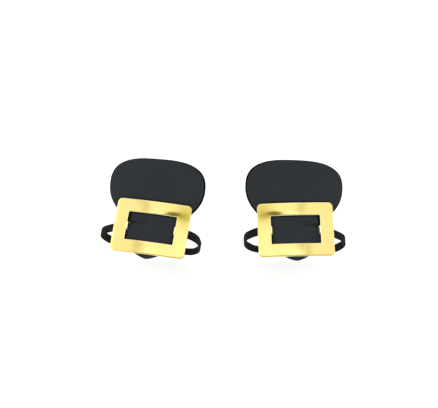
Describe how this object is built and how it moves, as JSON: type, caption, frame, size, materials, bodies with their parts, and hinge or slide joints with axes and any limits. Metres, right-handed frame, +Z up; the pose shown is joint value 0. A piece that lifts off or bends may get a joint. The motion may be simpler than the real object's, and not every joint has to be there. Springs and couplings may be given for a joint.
{
  "type": "pair of shoe covers",
  "caption": "Costume shoe covers: rounded dark tongue panels with domed gold frame buckles, held over the insteps by elastic straps that pass under the soles.",
  "frame": {"origin": "Midway between the covers, level with the undersides of the straps, where the two shoes that wear them hold them.", "axes": "+Z up, -Y towards the toes, +X towards the wearer's left. X runs across the pair."},
  "size_m": [0.2314, 0.0803, 0.1089],
  "materials": {
    "panel": "matte blue-black synthetic leather",
    "buckle": "polished pale gold plating",
    "elastic": "black ribbed woven elastic"
  },
  "bodies": {
    "root": {"tongue_left": "panel", "buckle_left": "buckle", "elastic_left": "elastic", "tongue_right": "panel", "buckle_right": "buckle", "elastic_right": "elastic"}
  },
  "joints": []
}
